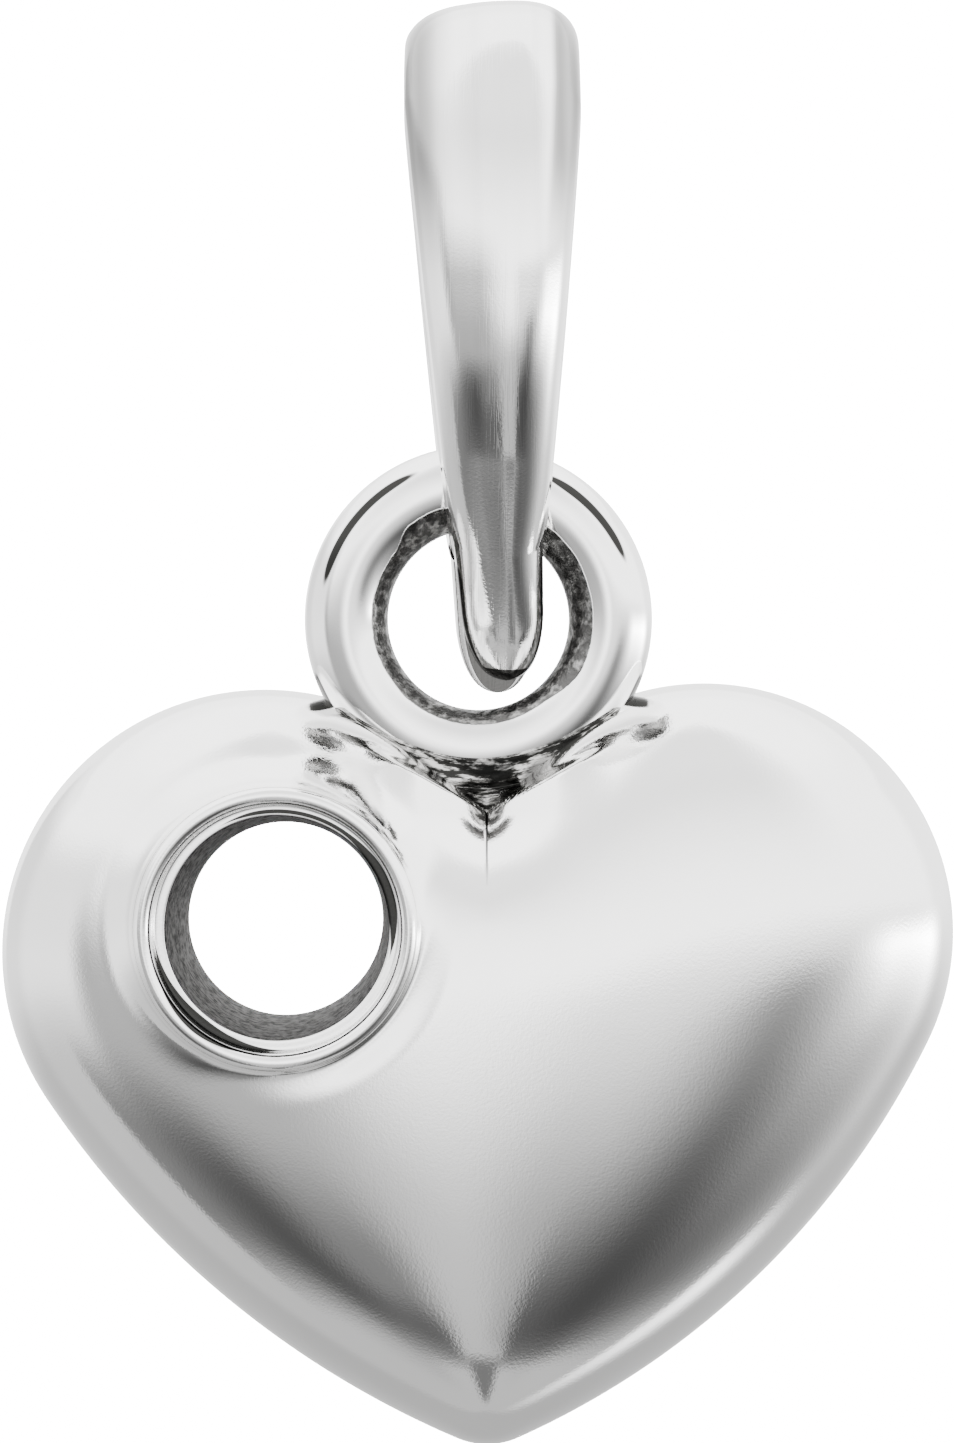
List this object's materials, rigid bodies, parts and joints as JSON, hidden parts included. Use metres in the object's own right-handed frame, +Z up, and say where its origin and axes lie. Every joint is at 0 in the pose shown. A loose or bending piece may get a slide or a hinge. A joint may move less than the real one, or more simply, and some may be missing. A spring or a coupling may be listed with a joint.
{
  "type": "heart pendant",
  "caption": "Puffed metal heart pendant with an open round stone seat in one lobe, an eye ring soldered in its notch and a tapered bail that slides on a chain.",
  "frame": {"origin": "middle of the chain seat, the highest point inside the bail, which rests on the chain", "axes": "+Z up, -Y out of the heart's front towards the viewer, +X to the viewer's right"},
  "size_m": [0.0099, 0.0042, 0.0149],
  "materials": {
    "heart_metal": "mirror-polished white precious metal, as-cast matte inside the seat's bore and along the solder",
    "ring_metal": "polished outside, matte inside the hole",
    "bail_metal": "mirror-polished, with faint lengthwise polishing lines"
  },
  "bodies": {
    "hanger": {"bail": "bail_metal"},
    "pendant": {"heart": "heart_metal", "eye_ring": "ring_metal"}
  },
  "joints": [
    {"name": "heart_swing", "type": "hinge", "parent": "hanger", "child": "pendant", "pos_m": [0, 0, -0.00452], "axis": [1, 0, 0], "range_deg": [-108, 108]}
  ]
}
